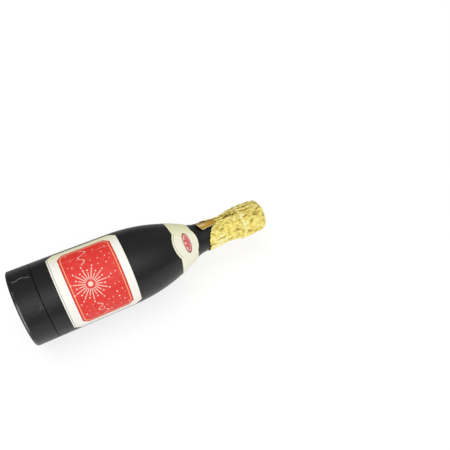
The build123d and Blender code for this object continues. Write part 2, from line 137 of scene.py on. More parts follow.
def stretch(tree, place, scale, turned=(0, 0, 0)):
    """A place with its own scale along each axis, for streaks."""
    return add(tree, "Mapping", {"Vector": place, "Scale": scale, "Rotation": turned})["Vector"]


def cloud(tree, place, scale, detail=3.0, harshness=0.5):
    """Noise round a half."""
    wires = {"Vector": place, "Scale": scale, "Detail": detail, "Roughness": harshness}
    return add(tree, "TexNoise", wires)[0]


def effect(name, inputs, outputs):
    """Starts a node group, and gives its tree, what comes in and what goes out."""
    tree = bpy.data.node_groups.new(name, "ShaderNodeTree")
    for label, kind in inputs.items():
        tree.interface.new_socket(label, in_out="INPUT", socket_type="NodeSocket" + kind)
    for label in outputs:
        tree.interface.new_socket(label, in_out="OUTPUT", socket_type="NodeSocketFloat")
    return tree, tree.nodes.new("NodeGroupInput").outputs, tree.nodes.new("NodeGroupOutput").inputs


def use(tree, group, **wires):
    """Places a node group and gives its outputs."""
    wires = {name.replace("_", " "): value for name, value in wires.items()}
    return add(tree, "Group", wires, node_tree=group)


def join(tree, sockets, **values):
    """Joins results to the sockets of a shader or of a group's end."""
    for label, value in values.items():
        tree.links.new(value, sockets[label.replace("_", " ")])


def new_finish(name, **uniform):
    """A material, its tree, its shader and the place on the piece."""
    material = bpy.data.materials.new(name)
    material.use_nodes = True
    tree = material.node_tree
    shader = tree.nodes["Principled BSDF"]
    for label, value in uniform.items():
        shader.inputs[label.replace("_", " ")].default_value = value
    return material, tree, shader, add(tree, "TexCoord")["Object"]


def tint(tree, share, first, second):
    """A colour between two, by a share."""
    first, second = (c if isinstance(c, bpy.types.NodeSocket) else (*c, 1) for c in (first, second))
    return add(tree, "Mix", {"Factor": share, 6: first, 7: second}, data_type="RGBA")[2]


def dent(tree, shader, height, depth):
    """Bump, with its depth in millimetres."""
    bump = add(tree, "Bump", {"Height": height, "Distance": depth * mm, "Strength": 1.0})
    join(tree, shader.inputs, Normal=bump["Normal"])


def dress(material, *nodes):
    """Gives a material to CAD nodes."""
    for node in nodes:
        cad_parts[node].material_slots[0].material = material


# a place on the bottle: its station is in millimetres from the foot, its turn
# in degrees up from the near side, its radius in millimetres off the axis
round_bottle, came, goes = effect("round_the_bottle", {"Place": "Vector"}, ("Station", "Turn", "Radius"))
parts = add(round_bottle, "SeparateXYZ", {"Vector": came["Place"]})
rise = times_plus(round_bottle, parts["Z"], 1 / mm, -axis_height / mm)
near = times(round_bottle, parts["Y"], -1 / mm)
join(
    round_bottle,
    goes,
    Station=times_plus(round_bottle, parts["X"], 1 / mm, -foot / mm),
    Turn=times(round_bottle, work_out(round_bottle, "ARCTAN2", rise, near), 180 / pi),
    Radius=flat_length(round_bottle, rise, near),
)

# moulded plastic: fine grain, flow streaks, patches of scuffs and hairlines, specks
moulded, came, goes = effect(
    "moulded_plastic",
    {"Place": "Vector", "Scuffs": "Float", "Gloss": "Float"},
    ("Wear", "Roughness", "Height"),
)
grain = cloud(moulded, came["Place"], 1500.0, 2.0)
streaks = cloud(moulded, stretch(moulded, came["Place"], (14, 380, 380)), 1.0, 4.0, 0.6)
patches = ramp(moulded, cloud(moulded, came["Place"], 42.0, 5.0, 0.65), 0.52, 0.74)
hair = cloud(moulded, stretch(moulded, came["Place"], (26, 520, 520), (0.1, 0.35, 0.5)), 1.0, 1.0)
hairline = times(moulded, ramp(moulded, away_from(moulded, hair, 0.5), 0.0, 0.006, 1, 0), patches)
cells = add(moulded, "TexVoronoi", {"Vector": came["Place"], "Scale": 260.0})
speck = ramp(moulded, cells["Distance"], 0.05, 0.12, 1, 0)
lot = add(moulded, "SeparateColor", {"Color": cells["Color"]})["Red"]
worn = times_plus(moulded, patches, ramp(moulded, streaks, 0.45, 0.75), times(moulded, hairline, 1.5))
worn = times_plus(moulded, speck, ramp(moulded, lot, 0.55, 0.75, 0.0, 2.4), worn)
worn = work_out(moulded, "MULTIPLY", worn, came["Scuffs"], clamp=True)
dull = times_plus(moulded, streaks, 0.16, times(moulded, worn, 0.3))
height = times_plus(moulded, streaks, 0.5, times(moulded, grain, 0.25))
join(
    moulded,
    goes,
    Wear=worn,
    Roughness=work_out(moulded, "ADD", came["Gloss"], dull),
    Height=times_plus(moulded, hairline, -0.6, height),
)

base_black, tree, shader, place = new_finish("base_black_plastic", IOR=plastic_ior)
where = use(tree, round_bottle, Place=place)
wear = use(tree, moulded, Place=place, Scuffs=0.5, Gloss=0.24)
wander = times_plus(tree, cloud(tree, stretch(tree, place, (190, 8, 8)), 1.0), scratch_wander, scratch_turn)
scratch = times(
    tree,
    ramp(tree, away_from(tree, where["Turn"], wander), 0.3, 1.0, 1, 0),
    window(tree, where["Station"], *scratch_stations),
)
rub = times(
    tree,
    ramp(tree, where["Station"], *rub_stations),
    window(tree, where["Turn"], *rub_turns),
    ramp(tree, cloud(tree, place, 700.0), 0.52, 0.66),
)
# painted highlight: a pale grey line just inside the foot edge, full on turns 35 to 55 and faint and patchy
# all round
patchy = ramp(tree, cloud(tree, place, 60.0), 0.5, 0.7, 0.0, 0.3)
painted_edge_highlight = times(
    tree,
    window(tree, where["Station"], *edge_stations),
    ramp(tree, where["Radius"], *edge_radii),
    times_plus(tree, window(tree, where["Turn"], *edge_turns), 0.7, patchy),
)
marked = tint(tree, work_out(tree, "MAXIMUM", rub, wear["Wear"]), black, scuffed_grey)
marked = tint(tree, painted_edge_highlight, marked, edge_highlight_grey)
marked = tint(tree, scratch, marked, scratched_grey)
join(tree, shader.inputs, Base_Color=marked, Roughness=wear["Roughness"])
rings = times(
    tree,
    work_out(tree, "SINE", times(tree, where["Radius"], 2 * pi / foot_ring_pitch)),
    ramp(tree, where["Station"], *foot_ring_stations, foot_ring_height, 0.0),
)
dent(tree, shader, work_out(tree, "ADD", wear["Height"], rings), 0.1)
dress(base_black, "twist_base")

# Air can with its pad and plug: drawn aluminium on a foam washer, filled
# through a rubber plug in its domed bottom and pressed into the base's socket.
drawn, came, goes = effect(
    "drawn_metal",
    {"Place": "Vector", "Scale": "Vector"},
    ("Shade", "Roughness", "Height"),
)
sized = add(drawn, "VectorMath", {0: came["Place"], 1: came["Scale"]}, operation="MULTIPLY")[0]
lines = cloud(drawn, sized, 1.0, 5.0, 0.7)
blotches = cloud(drawn, came["Place"], 60.0, 3.0)
join(
    drawn,
    goes,
    Shade=times_plus(drawn, blotches, 0.4, times(drawn, lines, 0.6)),
    Roughness=times_plus(drawn, lines, 0.25, 0.18),
    Height=lines,
)


def metal(name, dark, light, scale, depth):
    """Bare metal with the lines of its drawing or grinding."""
    material, tree, shader, place = new_finish(name, Metallic=1.0)
    surface = use(tree, drawn, Place=place, Scale=scale)
    colour = tint(tree, surface["Shade"], dark, light)
    join(tree, shader.inputs, Base_Color=colour, Roughness=surface["Roughness"])
    dent(tree, shader, surface["Height"], depth)
    return material


def rubber(name, dark, light, scale, roughness, depth):
    """Dull rubber or foam with its pores."""
    material, tree, shader, place = new_finish(name, Roughness=roughness)
    pores = cloud(tree, place, scale, 4.0, 0.65)
    join(tree, shader.inputs, Base_Color=tint(tree, pores, dark, light))
    dent(tree, shader, pores, depth)
    return material


drawn_aluminium = metal("drawn_aluminium", (0.56, 0.57, 0.59), (0.86, 0.87, 0.88), (30, 1800, 1800), 0.03)
dress(drawn_aluminium, "air_can")
grey_foam = rubber("grey_foam", (0.03, 0.03, 0.03), (0.2, 0.2, 0.2), 2200.0, 0.95, 0.4)
dress(grey_foam, "base_pad")
black_rubber = rubber("black_rubber", (0.012, 0.012, 0.012), (0.04, 0.04, 0.04), 900.0, 0.75, 0.05)
dress(black_rubber, "fill_plug", "stopper_ring")

# Latch on the can's neck: a collar and cap of ivory moulded plastic, two cast
# steel jaws that slide between them, and the red stopper that they hold down.
# The cam ring that works the jaws is of the same ivory plastic.


def moulding(name, colour, worn_colour, scuffs, gloss, depth, **uniform):
    """Moulded plastic of one colour, with its wear."""
    material, tree, shader, place = new_finish(name, **uniform)
    wear = use(tree, moulded, Place=place, Scuffs=scuffs, Gloss=gloss)
    colour = tint(tree, wear["Wear"], colour, worn_colour)
    join(tree, shader.inputs, Base_Color=colour, Roughness=wear["Roughness"])
    dent(tree, shader, wear["Height"], depth)
    return material


ivory_plastic = moulding("ivory_plastic", (0.78, 0.77, 0.71), (0.6, 0.58, 0.52), 0.6, 0.3, 0.05)
dress(ivory_plastic, "valve_collar", "collar_cap", "cam_ring")
cast_steel = metal("cast_steel", (0.3, 0.3, 0.31), (0.62, 0.62, 0.63), (700, 700, 700), 0.06)
dress(cast_steel, "latch_jaw_upper", "latch_jaw_lower")
red_plastic = moulding("red_plastic", (0.55, 0.03, 0.025), (0.62, 0.2, 0.18), 0.6, 0.28, 0.05)
dress(red_plastic, "stopper")

# Bottle shell: one black moulding from the seam to the lip. The same satin
# plastic as the base, with flow streaks along it and finer scuffs.
shell_black = moulding("shell_black_plastic", black, scuffed_grey, 0.35, 0.22, 0.1, IOR=plastic_ior)
dress(shell_black, "bottle_shell")

# Bulkhead and its split ring: the grey plate, cage and funnel that the air
# blows through, snapped into the shell over a ring of spring steel.
grey_plastic = moulding("grey_plastic", (0.05, 0.05, 0.054), (0.12, 0.12, 0.12), 0.6, 0.36, 0.05)
dress(grey_plastic, "bulkhead")
spring_steel = metal("spring_steel", (0.32, 0.33, 0.35), (0.6, 0.61, 0.63), (900, 900, 900), 0.02)
dress(spring_steel, "retaining_ring")

# Barrel, wad and closing disc: rolled and punched card, brown and fibrous.
# The barrel is glued in the bulkhead's socket, the wad and disc slide in it.
fibre, came, goes = effect("paper_fibre", {"Place": "Vector", "Fineness": "Float"}, ("Fleck", "Height"))
sized = add(fibre, "VectorMath", {0: came["Place"], "Scale": came["Fineness"]}, operation="SCALE")[0]
strands = cloud(fibre, stretch(fibre, sized, (0.5, 2.2, 2.2), (0.2, 0.4, 0.9)), 1.0, 5.0, 0.65)
pulp = cloud(fibre, sized, 0.35, 4.0)
join(fibre, goes, Fleck=times_plus(fibre, strands, 0.6, times(fibre, pulp, 0.4)), Height=strands)

brown_card, tree, shader, place = new_finish("brown_card", Roughness=0.85)
pulped = use(tree, fibre, Place=place, Fineness=1100.0)
join(tree, shader.inputs, Base_Color=tint(tree, pulped["Fleck"], (0.3, 0.2, 0.11), (0.66, 0.5, 0.33)))
dent(tree, shader, pulped["Height"], 0.06)
dress(brown_card, "barrel_tube", "wad", "closing_disc")

# Confetti: punched discs of coloured foil, thin and a little curled, packed
# one on another between the wad and the closing disc.
charge_low, charge_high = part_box("wad")[1].x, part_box("closing_disc")[0].x
disc_count = 88
disc_pitch = (charge_high - charge_low) / disc_count
disc_radius, disc_thickness = 8.0 * mm, 0.08 * mm
disc_play, disc_curl, disc_tilt = 1.9 * mm, 3.0, 0.035
disc_sides = 18
golden_turn, disc_spin = radians(137.5), 2.4
disc_foils = (
    ("silver", (0.62, 0.62, 0.64), 0, 2),
    ("blue", (0.02, 0.05, 0.42), 1, 8),
    ("green", (0.01, 0.26, 0.06), 3, 8),
    ("red", (0.6, 0.03, 0.02), 5, 8),
    ("gold", (0.78, 0.55, 0.08), 7, 8),
)

packed = bpy.data.node_groups.new("packed_discs", "GeometryNodeTree")
packed.interface.new_socket("Geometry", in_out="OUTPUT", socket_type="NodeSocketGeometry")
knobs = {}
for label, kind in (
    ("Count", "Int"), ("First place", "Int"), ("Step", "Int"), ("Start", "Float"), ("Pitch", "Float"),
    ("Disc radius", "Float"), ("Play", "Float"), ("Curl", "Float"), ("Tilt", "Float"), ("Seed", "Int"),
    ("Foil", "Material"),
):
    socket = packed.interface.new_socket(label, in_out="INPUT", socket_type="NodeSocket" + kind)
    knobs[label] = socket.identifier
knob = packed.nodes.new("NodeGroupInput").outputs

number = times_plus(packed, add(packed, "GeometryNodeInputIndex")[0], knob["Step"], knob["First place"])
spread = times(packed, number, golden_turn)
stood = add(packed, "CombineXYZ", {
    "X": times_plus(packed, work_out(packed, "ADD", number, 0.5), knob["Pitch"], knob["Start"]),
    "Y": times(packed, work_out(packed, "COSINE", spread), knob["Play"]),
    "Z": times_plus(packed, work_out(packed, "SINE", spread), knob["Play"], axis_height),
})[0]
places = add(packed, "GeometryNodeMeshLine", {"Count": knob["Count"]})["Mesh"]
places = add(packed, "GeometryNodeSetPosition", {"Geometry": places, "Position": stood})[0]
punched = add(packed, "GeometryNodeMeshCylinder", {
    "Vertices": disc_sides,
    "Fill Segments": 2,
    "Radius": knob["Disc radius"],
    "Depth": disc_thickness,
})["Mesh"]
rim = add(packed, "SeparateXYZ", {0: add(packed, "GeometryNodeInputPosition")[0]})
bow = add(packed, "CombineXYZ", {"Z": times(packed, rim["X"], rim["X"], knob["Curl"])})[0]
punched = add(packed, "GeometryNodeSetPosition", {"Geometry": punched, "Offset": bow})[0]
chance = {"Min": (-1, -1, -1), "Max": (1, 1, 1), "Seed": knob["Seed"]}
lean = add(packed, "FunctionNodeRandomValue", chance, data_type="FLOAT_VECTOR")[0]
lean = add(packed, "VectorMath", {0: lean, "Scale": knob["Tilt"]}, operation="SCALE")[0]
lean = add(packed, "VectorMath", {0: lean, 1: (0, pi / 2, 0)}, operation="ADD")[0]
spun = add(packed, "CombineXYZ", {"Z": times(packed, number, disc_spin)})[0]
stacked = add(packed, "GeometryNodeInstanceOnPoints", {
    "Points": places,
    "Instance": punched,
    "Rotation": lean,
})[0]
stacked = add(packed, "GeometryNodeRotateInstances", {
    "Instances": stacked,
    "Rotation": spun,
    "Local Space": True,
})[0]
stacked = add(packed, "GeometryNodeRealizeInstances", {"Geometry": stacked})[0]
stacked = add(packed, "GeometryNodeSetMaterial", {"Geometry": stacked, "Material": knob["Foil"]})[0]
join(packed, packed.nodes.new("NodeGroupOutput").inputs, Geometry=stacked)

for seed, (colour, foil_colour, first_place, step) in enumerate(disc_foils):
    foil, tree, shader, place = new_finish(f"{colour}_disc_foil", Metallic=0.9)
    creased = cloud(tree, place, 260.0, 4.0, 0.6)
    join(
        tree,
        shader.inputs,
        Base_Color=tint(tree, creased, tuple(c * 0.8 for c in foil_colour), foil_colour),
        Roughness=times_plus(tree, creased, 0.2, 0.15),
    )
    dent(tree, shader, creased, 0.15)
    discs = bpy.data.objects.new(f"{colour}_discs", bpy.data.meshes.new(f"{colour}_discs"))
    bpy.context.scene.collection.objects.link(discs)
    stack = discs.modifiers.new("packed", "NODES")
    stack.node_group = packed
    for label, value in (
        ("Count", disc_count // step), ("First place", first_place), ("Step", step), ("Start", charge_low),
        ("Pitch", disc_pitch), ("Disc radius", disc_radius), ("Play", disc_play), ("Curl", disc_curl),
        ("Tilt", disc_tilt), ("Seed", seed), ("Foil", foil),
    ):
        stack[knobs[label]] = value
    made = bpy.data.meshes.new_from_object(discs.evaluated_get(bpy.context.evaluated_depsgraph_get()))
    discs.modifiers.clear()
    discs.data = made
    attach(discs, "charge")
    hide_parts(f"confetti_{colour}")

# Main label: a sheet of coated paper with clipped corners, glued on the body.
# Cream border with a grey rule on the foot side, and a red panel with dark red
# and orange rules, a burst of rays, two streamers and scattered dots in cream.
label_start, label_end, label_turns = 36.9, 104.7, (-19.0, 125.0)
label_corner, label_radius = 6.8, 38.2
mm_per_degree = radians(label_radius)
paper_gap, paper_thickness = 0.1, 0.2
panel_station, panel_turn = 71.6, 52.3
panel_half_height, panel_half_width, panel_corner = 25.3, 40.8, 5.4
foot_rule_drop, foot_rule_half = 33.3, 42.0
orange_rule_inset = 2.2
panel_sheen_turns = (72.0, 97.0)
burst_drop, ray_count, long_ray, ray_step = 6.0, 22, 15.5, 4.5
streamer_ends = (19.0, 20.0, 36.5, 37.5)
ink_edge = 0.12
cream, shaded_cream, pulp_brown = (0.88, 0.865, 0.8), (0.82, 0.79, 0.55), (0.55, 0.5, 0.36)
red, pale_red, dark_red = (0.67, 0.024, 0.017), (0.74, 0.045, 0.034), (0.26, 0.012, 0.01)
rule_grey, rule_orange = (0.3, 0.3, 0.22), (0.92, 0.5, 0.25)
sheen_pink, print_cream = (0.9, 0.3, 0.26), (0.9, 0.72, 0.6)

# the shell's outside, as a radius at each station, read from its CAD mesh
shell_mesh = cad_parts["bottle_shell"].data
outside = {}
for face in shell_mesh.polygons:
    outward = Vector((0, face.center.y, face.center.z - axis_height)).normalized()
    if face.normal.dot(outward) > 0.3:
        for index in face.vertices:
            corner = shell_mesh.vertices[index].co
            outside[round((corner.x - foot) / mm, 3)] = hypot(corner.y, corner.z - axis_height) / mm
outside_stations = np.array(sorted(outside))
outside_radii = np.array([outside[station] for station in outside_stations])


def shell_radius(station):
    """The radius of the shell's outside."""
    return np.interp(station, outside_stations, outside_radii)


def off_axis(station, reach, turn):
    """The point at a station, so far from the bottle's axis and turned up from the near side."""
    angle = radians(turn)
    return Vector((foot + station * mm, -reach * cos(angle) * mm, axis_height + reach * sin(angle) * mm))


def on_bottle(station, turn, lift):
    """The point that is lifted off the shell's outside."""
    return off_axis(station, shell_radius(station) + lift, turn)


def closed_sheet(name, top, under, faces, material):
    """A thin closed piece from its top points, its under points and the faces between them."""
    mesh = bpy.data.meshes.new(name)
    shape = bmesh.new()
    upper = [shape.verts.new(p) for p in top]
    lower = [shape.verts.new(p) for p in under]
    edges = {}
    for face in faces:
        shape.faces.new([upper[i] for i in face])
        shape.faces.new([lower[i] for i in reversed(face)])
        edges.update(dict.fromkeys(zip(face, (*face[1:], face[0]))))
    for first, second in edges:
        if (second, first) not in edges:
            shape.faces.new([upper[second], upper[first], lower[first], lower[second]])
    if shape.calc_volume(signed=True) < 0:
        bmesh.ops.reverse_faces(shape, faces=shape.faces)
    shape.to_mesh(mesh)
    shape.free()
    mesh.materials.append(material)
    piece = bpy.data.objects.new(name, mesh)
    bpy.context.scene.collection.objects.link(piece)
    return piece


def grid_faces(rows, columns, joined=False):
    """Quads over a grid of points, joined up round the bottle or not."""
    faces = []
    for row in range(rows - 1):
        this, following = row * columns, (row + 1) * columns
        for column in range(columns if joined else columns - 1):
            beside = (column + 1) % columns
            faces.append((this + column, following + column, following + beside, this + beside))
    return faces


def glued_paper(name, grid, faces, material):
    """Paper over a grid of stations and turns, the glue's thickness off the shell."""
    sheet = closed_sheet(
        name,
        [on_bottle(station, turn, paper_gap + paper_thickness) for station, turn in grid],
        [on_bottle(station, turn, paper_gap) for station, turn in grid],
        faces,
        material,
    )
    sheet.data.polygons.foreach_set("use_smooth", [True] * len(sheet.data.polygons))
    sheet.data.set_sharp_from_angle(angle=radians(40))
    return sheet


def coated_paper(tree, place, painted_top_shade, pale, shaded):
    """The colour and height of coated paper, darker and yellower under a mask of painted shade, with its
    pulp just showing.
    """
    pulped = use(tree, fibre, Place=place, Fineness=1500.0)
    colour = tint(tree, painted_top_shade, pale, shaded)
    return tint(tree, times(tree, pulped["Fleck"], 0.14), colour, pulp_brown), pulped["Height"]


def line_mask(tree, distance, width):
    """Ink where a distance is within half a width of nought, with a soft edge."""
    off = work_out(tree, "ABSOLUTE", distance)
    return ramp(tree, off, width / 2 - ink_edge, width / 2 + ink_edge, 1, 0)


def print_on(tree, shader, inked, paper, ink, height, ink_roughness):
    """Lays ink on paper within a mask, glossier than the paper and a little raised."""
    join(
        tree,
        shader.inputs,
        Base_Color=tint(tree, inked, paper, ink),
        Roughness=ramp(tree, inked, 0.0, 1.0, 0.5, ink_roughness),
    )
    dent(tree, shader, times_plus(tree, inked, 0.4, height), 0.02)


panel, came, goes = effect(
    "clipped_panel",
    {"Up": "Float", "Over": "Float", "Half height": "Float", "Half width": "Float", "Corner": "Float"},
    ("Outside",),
)
up_out = minus(panel, work_out(panel, "ABSOLUTE", came["Up"]), came["Half height"])
over_out = minus(panel, work_out(panel, "ABSOLUTE", came["Over"]), came["Half width"])
slant = work_out(panel, "ADD", work_out(panel, "ADD", up_out, over_out), came["Corner"])
slant = times(panel, slant, 0.5 ** 0.5)
straight = work_out(panel, "MAXIMUM", up_out, over_out)
join(panel, goes, Outside=work_out(panel, "MAXIMUM", straight, slant))

coated, tree, shader, place = new_finish(
    "printed_label", Coat_Weight=0.06, Coat_Roughness=0.25, Specular_IOR_Level=0.35,
)
where = use(tree, round_bottle, Place=place)
up = minus(tree, where["Station"], panel_station)
over = times(tree, minus(tree, panel_turn, where["Turn"]), mm_per_degree)
side = work_out(tree, "ABSOLUTE", over)
# painted shade: the paper turns darker and yellower towards the top far side
painted_top_shade = ramp(tree, where["Turn"], 92.0, 124.0)
paper, pulp_height = coated_paper(tree, place, painted_top_shade, cream, shaded_cream)
foot_rule = times(
    tree,
    line_mask(tree, work_out(tree, "ADD", up, foot_rule_drop), 0.6),
    ramp(tree, side, foot_rule_half, foot_rule_half + 0.6, 1, 0),
    0.9,
)
paper = tint(tree, foot_rule, paper, rule_grey)
rim_out = use(
    tree, panel, Up=up, Over=over,
    Half_height=panel_half_height, Half_width=panel_half_width, Corner=panel_corner,
)["Outside"]
inside_panel = ramp(tree, rim_out, -ink_edge, ink_edge, 1, 0)
ink = tint(tree, ramp(tree, cloud(tree, place, 240.0, 5.0, 0.7), 0.35, 0.75), red, pale_red)
ink = tint(tree, line_mask(tree, rim_out, 0.8), ink, dark_red)
orange_rule = line_mask(tree, work_out(tree, "ADD", rim_out, orange_rule_inset), 0.6)
ink = tint(tree, orange_rule, ink, rule_orange)
# painted highlight: two pale pink streaks of sheen along the red panel near turns 72 and 97, wavering and
# broken into patches
sway = times_plus(tree, cloud(tree, stretch(tree, place, (60, 8, 8)), 1.0), 6.0, -3.0)
bent = minus(tree, where["Turn"], sway)
crease_sheen_and_shade = work_out(tree, "MINIMUM", *(away_from(tree, bent, turn) for turn in panel_sheen_turns))
broken = ramp(tree, cloud(tree, place, 70.0), 0.42, 0.6)
ink = tint(tree, times(tree, ramp(tree, crease_sheen_and_shade, 0.2, 1.6, 0.4, 0), broken), ink, sheen_pink)

# the burst: rays of two lengths with a dot beyond each, round a solid heart
burst_up = work_out(tree, "ADD", up, burst_drop)
reach = flat_length(tree, over, burst_up)
aim = work_out(tree, "ARCTAN2", over, burst_up)
sector = times_plus(tree, aim, ray_count / (2 * pi), ray_count + 0.5)
off_ray = times(tree, minus(tree, work_out(tree, "FRACT", sector), 0.5), reach, 2 * pi / ray_count)
odd = work_out(tree, "MODULO", work_out(tree, "FLOOR", sector), 2.0)
past_tip = minus(tree, reach, times_plus(tree, odd, -ray_step, long_ray))
ray = times(
    tree,
    line_mask(tree, off_ray, 0.7),
    ramp(tree, reach, 4.2, 4.6),
    ramp(tree, past_tip, -0.3, 0.1, 1, 0),
)
bead = ramp(tree, flat_length(tree, off_ray, minus(tree, past_tip, 1.9)), 0.6, 0.85, 1, 0)
heart = ramp(tree, reach, 2.2, 2.5, 1, 0)
printed = work_out(tree, "MAXIMUM", work_out(tree, "MAXIMUM", ray, bead), heart)

# the streamers: a wave on each side that grows away from the burst
swing = work_out(tree, "SINE", times(tree, side, 0.62))
swing = times(tree, swing, ramp(tree, side, 17.0, 27.0, 1.0, 3.4))
drift = minus(tree, minus(tree, up, swing), times_plus(tree, side, 0.28, -12.0))
streamer = times(tree, line_mask(tree, drift, 0.9), window(tree, side, *streamer_ends))
printed = work_out(tree, "MAXIMUM", printed, streamer)

# the dots: one in most cells, clear of the burst, the streamers and the rules
flat = {"Vector": add(tree, "CombineXYZ", {"X": over, "Y": up})[0], "Scale": 0.17, "Randomness": 0.75}
cells = add(tree, "TexVoronoi", flat, voronoi_dimensions="2D")
dot_size = times(tree, add(tree, "SeparateColor", {"Color": cells["Color"]})["Red"], 0.11)
dots = times(
    tree,
    ramp(tree, minus(tree, cells["Distance"], dot_size), 0.0, 0.03, 1, 0),
    ramp(tree, reach, 19.0, 20.0),
    ramp(tree, rim_out, -4.2, -3.6, 1, 0),
    ramp(tree, work_out(tree, "ABSOLUTE", drift), 2.0, 2.4),
)
printed = work_out(tree, "MAXIMUM", printed, dots)
ink = tint(tree, times(tree, printed, 0.85), ink, print_cream)
print_on(tree, shader, inside_panel, paper, ink, pulp_height, 0.36)

rows, columns = 49, 121
grid = []
for row in range(rows):
    level = label_start + (label_end - label_start) * row / (rows - 1)
    clip = max(label_corner - min(level - label_start, label_end - level), 0) / mm_per_degree
    low, high = label_turns[0] + clip, label_turns[1] - clip
    grid += [(level, low + (high - low) * column / (columns - 1)) for column in range(columns)]
label = glued_paper("printed_main_label", grid, grid_faces(rows, columns), coated)
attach(label, "bottle")
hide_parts("main_label")

# Neck label: a cream paper band right round the shoulder, with a medallion on
# the near side. The medallion has a red oval with three stars and a grey rule.
band_start, band_end, band_bow = 154.3, 176.3, 1.4
band_shade_turns = (60.0, 105.0, 130.0, 178.0)
medallion_station, medallion_turn = 165.5, 55.5
medallion_rise, medallion_run = 14.3, 19.2
medallion_rule_inset = 1.7
seal_rise, seal_half_up, seal_half_over = 1.4, 4.2, 11.0
seal_rule_inset = 1.1
star_pitch, star_half, star_row_half = 5.2, 1.7, 7.4
band_cream, band_shaded = (0.87, 0.85, 0.68), (0.8, 0.78, 0.5)
rose, pale_rose = (0.58, 0.07, 0.075), (0.72, 0.16, 0.16)
dark_rose, rose_rule = (0.22, 0.05, 0.05), (0.85, 0.66, 0.6)


def oval(tree, up, over, half_up, half_over):
    """How far outside an oval a place is, in millimetres."""
    shares = (work_out(tree, "DIVIDE", up, half_up), work_out(tree, "DIVIDE", over, half_over))
    return times(tree, minus(tree, flat_length(tree, *shares), 1.0), half_up)


def wrapped(turn):
    """A turn between -180 and 180 degrees."""
    return (turn + 180) % 360 - 180


def swell(away, width, power=2):
    """A smooth hump that is 1 at its middle, flatter on top at a higher power."""
    return np.exp(-((away / width) ** power))


banded, tree, shader, place = new_finish(
    "printed_neck_label", Coat_Weight=0.06, Coat_Roughness=0.3, Specular_IOR_Level=0.35,
)
where = use(tree, round_bottle, Place=place)
up = minus(tree, where["Station"], medallion_station)
over = times(tree, minus(tree, medallion_turn, where["Turn"]), times(tree, where["Radius"], pi / 180))
height_off, side = work_out(tree, "ABSOLUTE", up), work_out(tree, "ABSOLUTE", over)
# painted shade: the band turns darker and yellower over the top, easing off again behind
painted_top_shade = window(tree, where["Turn"], *band_shade_turns)
paper, pulp_height = coated_paper(tree, place, painted_top_shade, band_cream, band_shaded)
bulge = oval(tree, up, over, medallion_rise, medallion_run)
arc = times(
    tree,
    line_mask(tree, work_out(tree, "ADD", bulge, medallion_rule_inset), 0.5),
    ramp(tree, up, -8.6, -7.8, 1, 0),
    0.9,
)
paper = tint(tree, arc, paper, rule_grey)
seal_out = oval(tree, minus(tree, up, seal_rise), over, seal_half_up, seal_half_over)
inside_seal = ramp(tree, seal_out, -0.15, 0.15, 1, 0)
ink = tint(tree, ramp(tree, cloud(tree, place, 300.0, 5.0), 0.3, 0.75), rose, pale_rose)
ink = tint(tree, line_mask(tree, seal_out, 1.0), ink, dark_rose)
ink = tint(tree, line_mask(tree, work_out(tree, "ADD", seal_out, seal_rule_inset), 0.4), ink, rose_rule)
across = minus(tree, work_out(tree, "FRACT", times_plus(tree, over, 1 / star_pitch, 0.5)), 0.5)
across = work_out(tree, "ABSOLUTE", times(tree, across, star_pitch))
star = times(
    tree,
    ramp(tree, times(tree, across, height_off), 0.12, 0.3, 1, 0),
    ramp(tree, work_out(tree, "MAXIMUM", across, height_off), star_half, star_half + 0.2, 1, 0),
    ramp(tree, side, star_row_half, star_row_half + 0.4, 1, 0),
    0.85,
)
ink = tint(tree, star, ink, print_cream)
print_on(tree, shader, inside_seal, paper, ink, pulp_height, 0.34)

rows, columns = 21, 300
grid = []
for row in range(rows):
    for column in range(columns):
        turn = 360 * column / columns
        out = wrapped(turn - medallion_turn)
        first, last = (end + band_bow * swell(out, 45) for end in (band_start, band_end))
        low, high = first, last
        for _ in range(3):
            low_share, high_share = (
                shell_radius(station) * radians(abs(out)) / medallion_run for station in (low, high)
            )
            low = min(first, medallion_station - medallion_rise * max(1 - low_share**2, 0) ** 0.5)
            high = max(last, medallion_station + medallion_rise * max(1 - high_share**2, 0) ** 0.5)
        grid.append((low + (high - low) * row / (rows - 1), turn))
neck_band = glued_paper("printed_neck_band", grid, grid_faces(rows, columns, joined=True), banded)
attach(neck_band, "bottle")
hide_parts("neck_label")

# Gold foil: thin lacquered foil pressed over the neck and lip by hand, so it
# is crumpled into facets with long pleats. Its torn edge is tucked into the mouth.
lip_start, lip_round, bore_radius, cuff_taper = 256.75, 4.43, 11.62, 3.7
lip_turn = radians(90 - cuff_taper)
lip_end = lip_start + lip_round * lip_turn
lip_middle = lip_start - lip_round * sin(radians(cuff_taper))
foil_start, foil_end = 192.2, lip_end + 1.6
foil_thickness, least_lift, mean_lift = 0.1, 0.2, 0.95
ring_run, ring_height, ring_half = 234.1, 0.75, 1.5
groove_run, groove_depth, groove_half = 231.4, 0.15, 0.9
bunch_run, bunch_turn, bunch_height = 204, -30, 1.5
overlap_run, overlap_turn = 224, 112
slant_turn, slit_turn, slant_rise = 12, 87, 11.0
back_turn, back_rise = 100, 7.5
nick_turn, nick_rise = 5, 1.0
fold_height, fold_aside, fold_half, valley_half = 0.5, 6, 4.5, 2.4
dice = np.random.default_rng(11)
# each swell's height, how often it comes along and round the foil, and its phase
foil_swells = ((0.22, 14, 5, 20), (0.2, 23, 11, 75), (0.16, 37, 17, 140))
# each pleat's turn, the run of its middle, its half length and its skew
pleats = (
    (67, 238, 3, 2), (91, 244, 5, 3), (79, 255, 3, 2), (18, 207, 6, 2), (-3, 218, 9, 1), (4, 197, 4, -6),
    (98, 222, 20, -4), (108, 234, 18, 5), (117, 214, 22, 0), (140, 240, 22, 0), (165, 222, 30, -8),
    (205, 235, 20, 5), (238, 214, 24, -4), (268, 240, 22, 6), (300, 222, 26, -6), (335, 244, 18, 4),
)


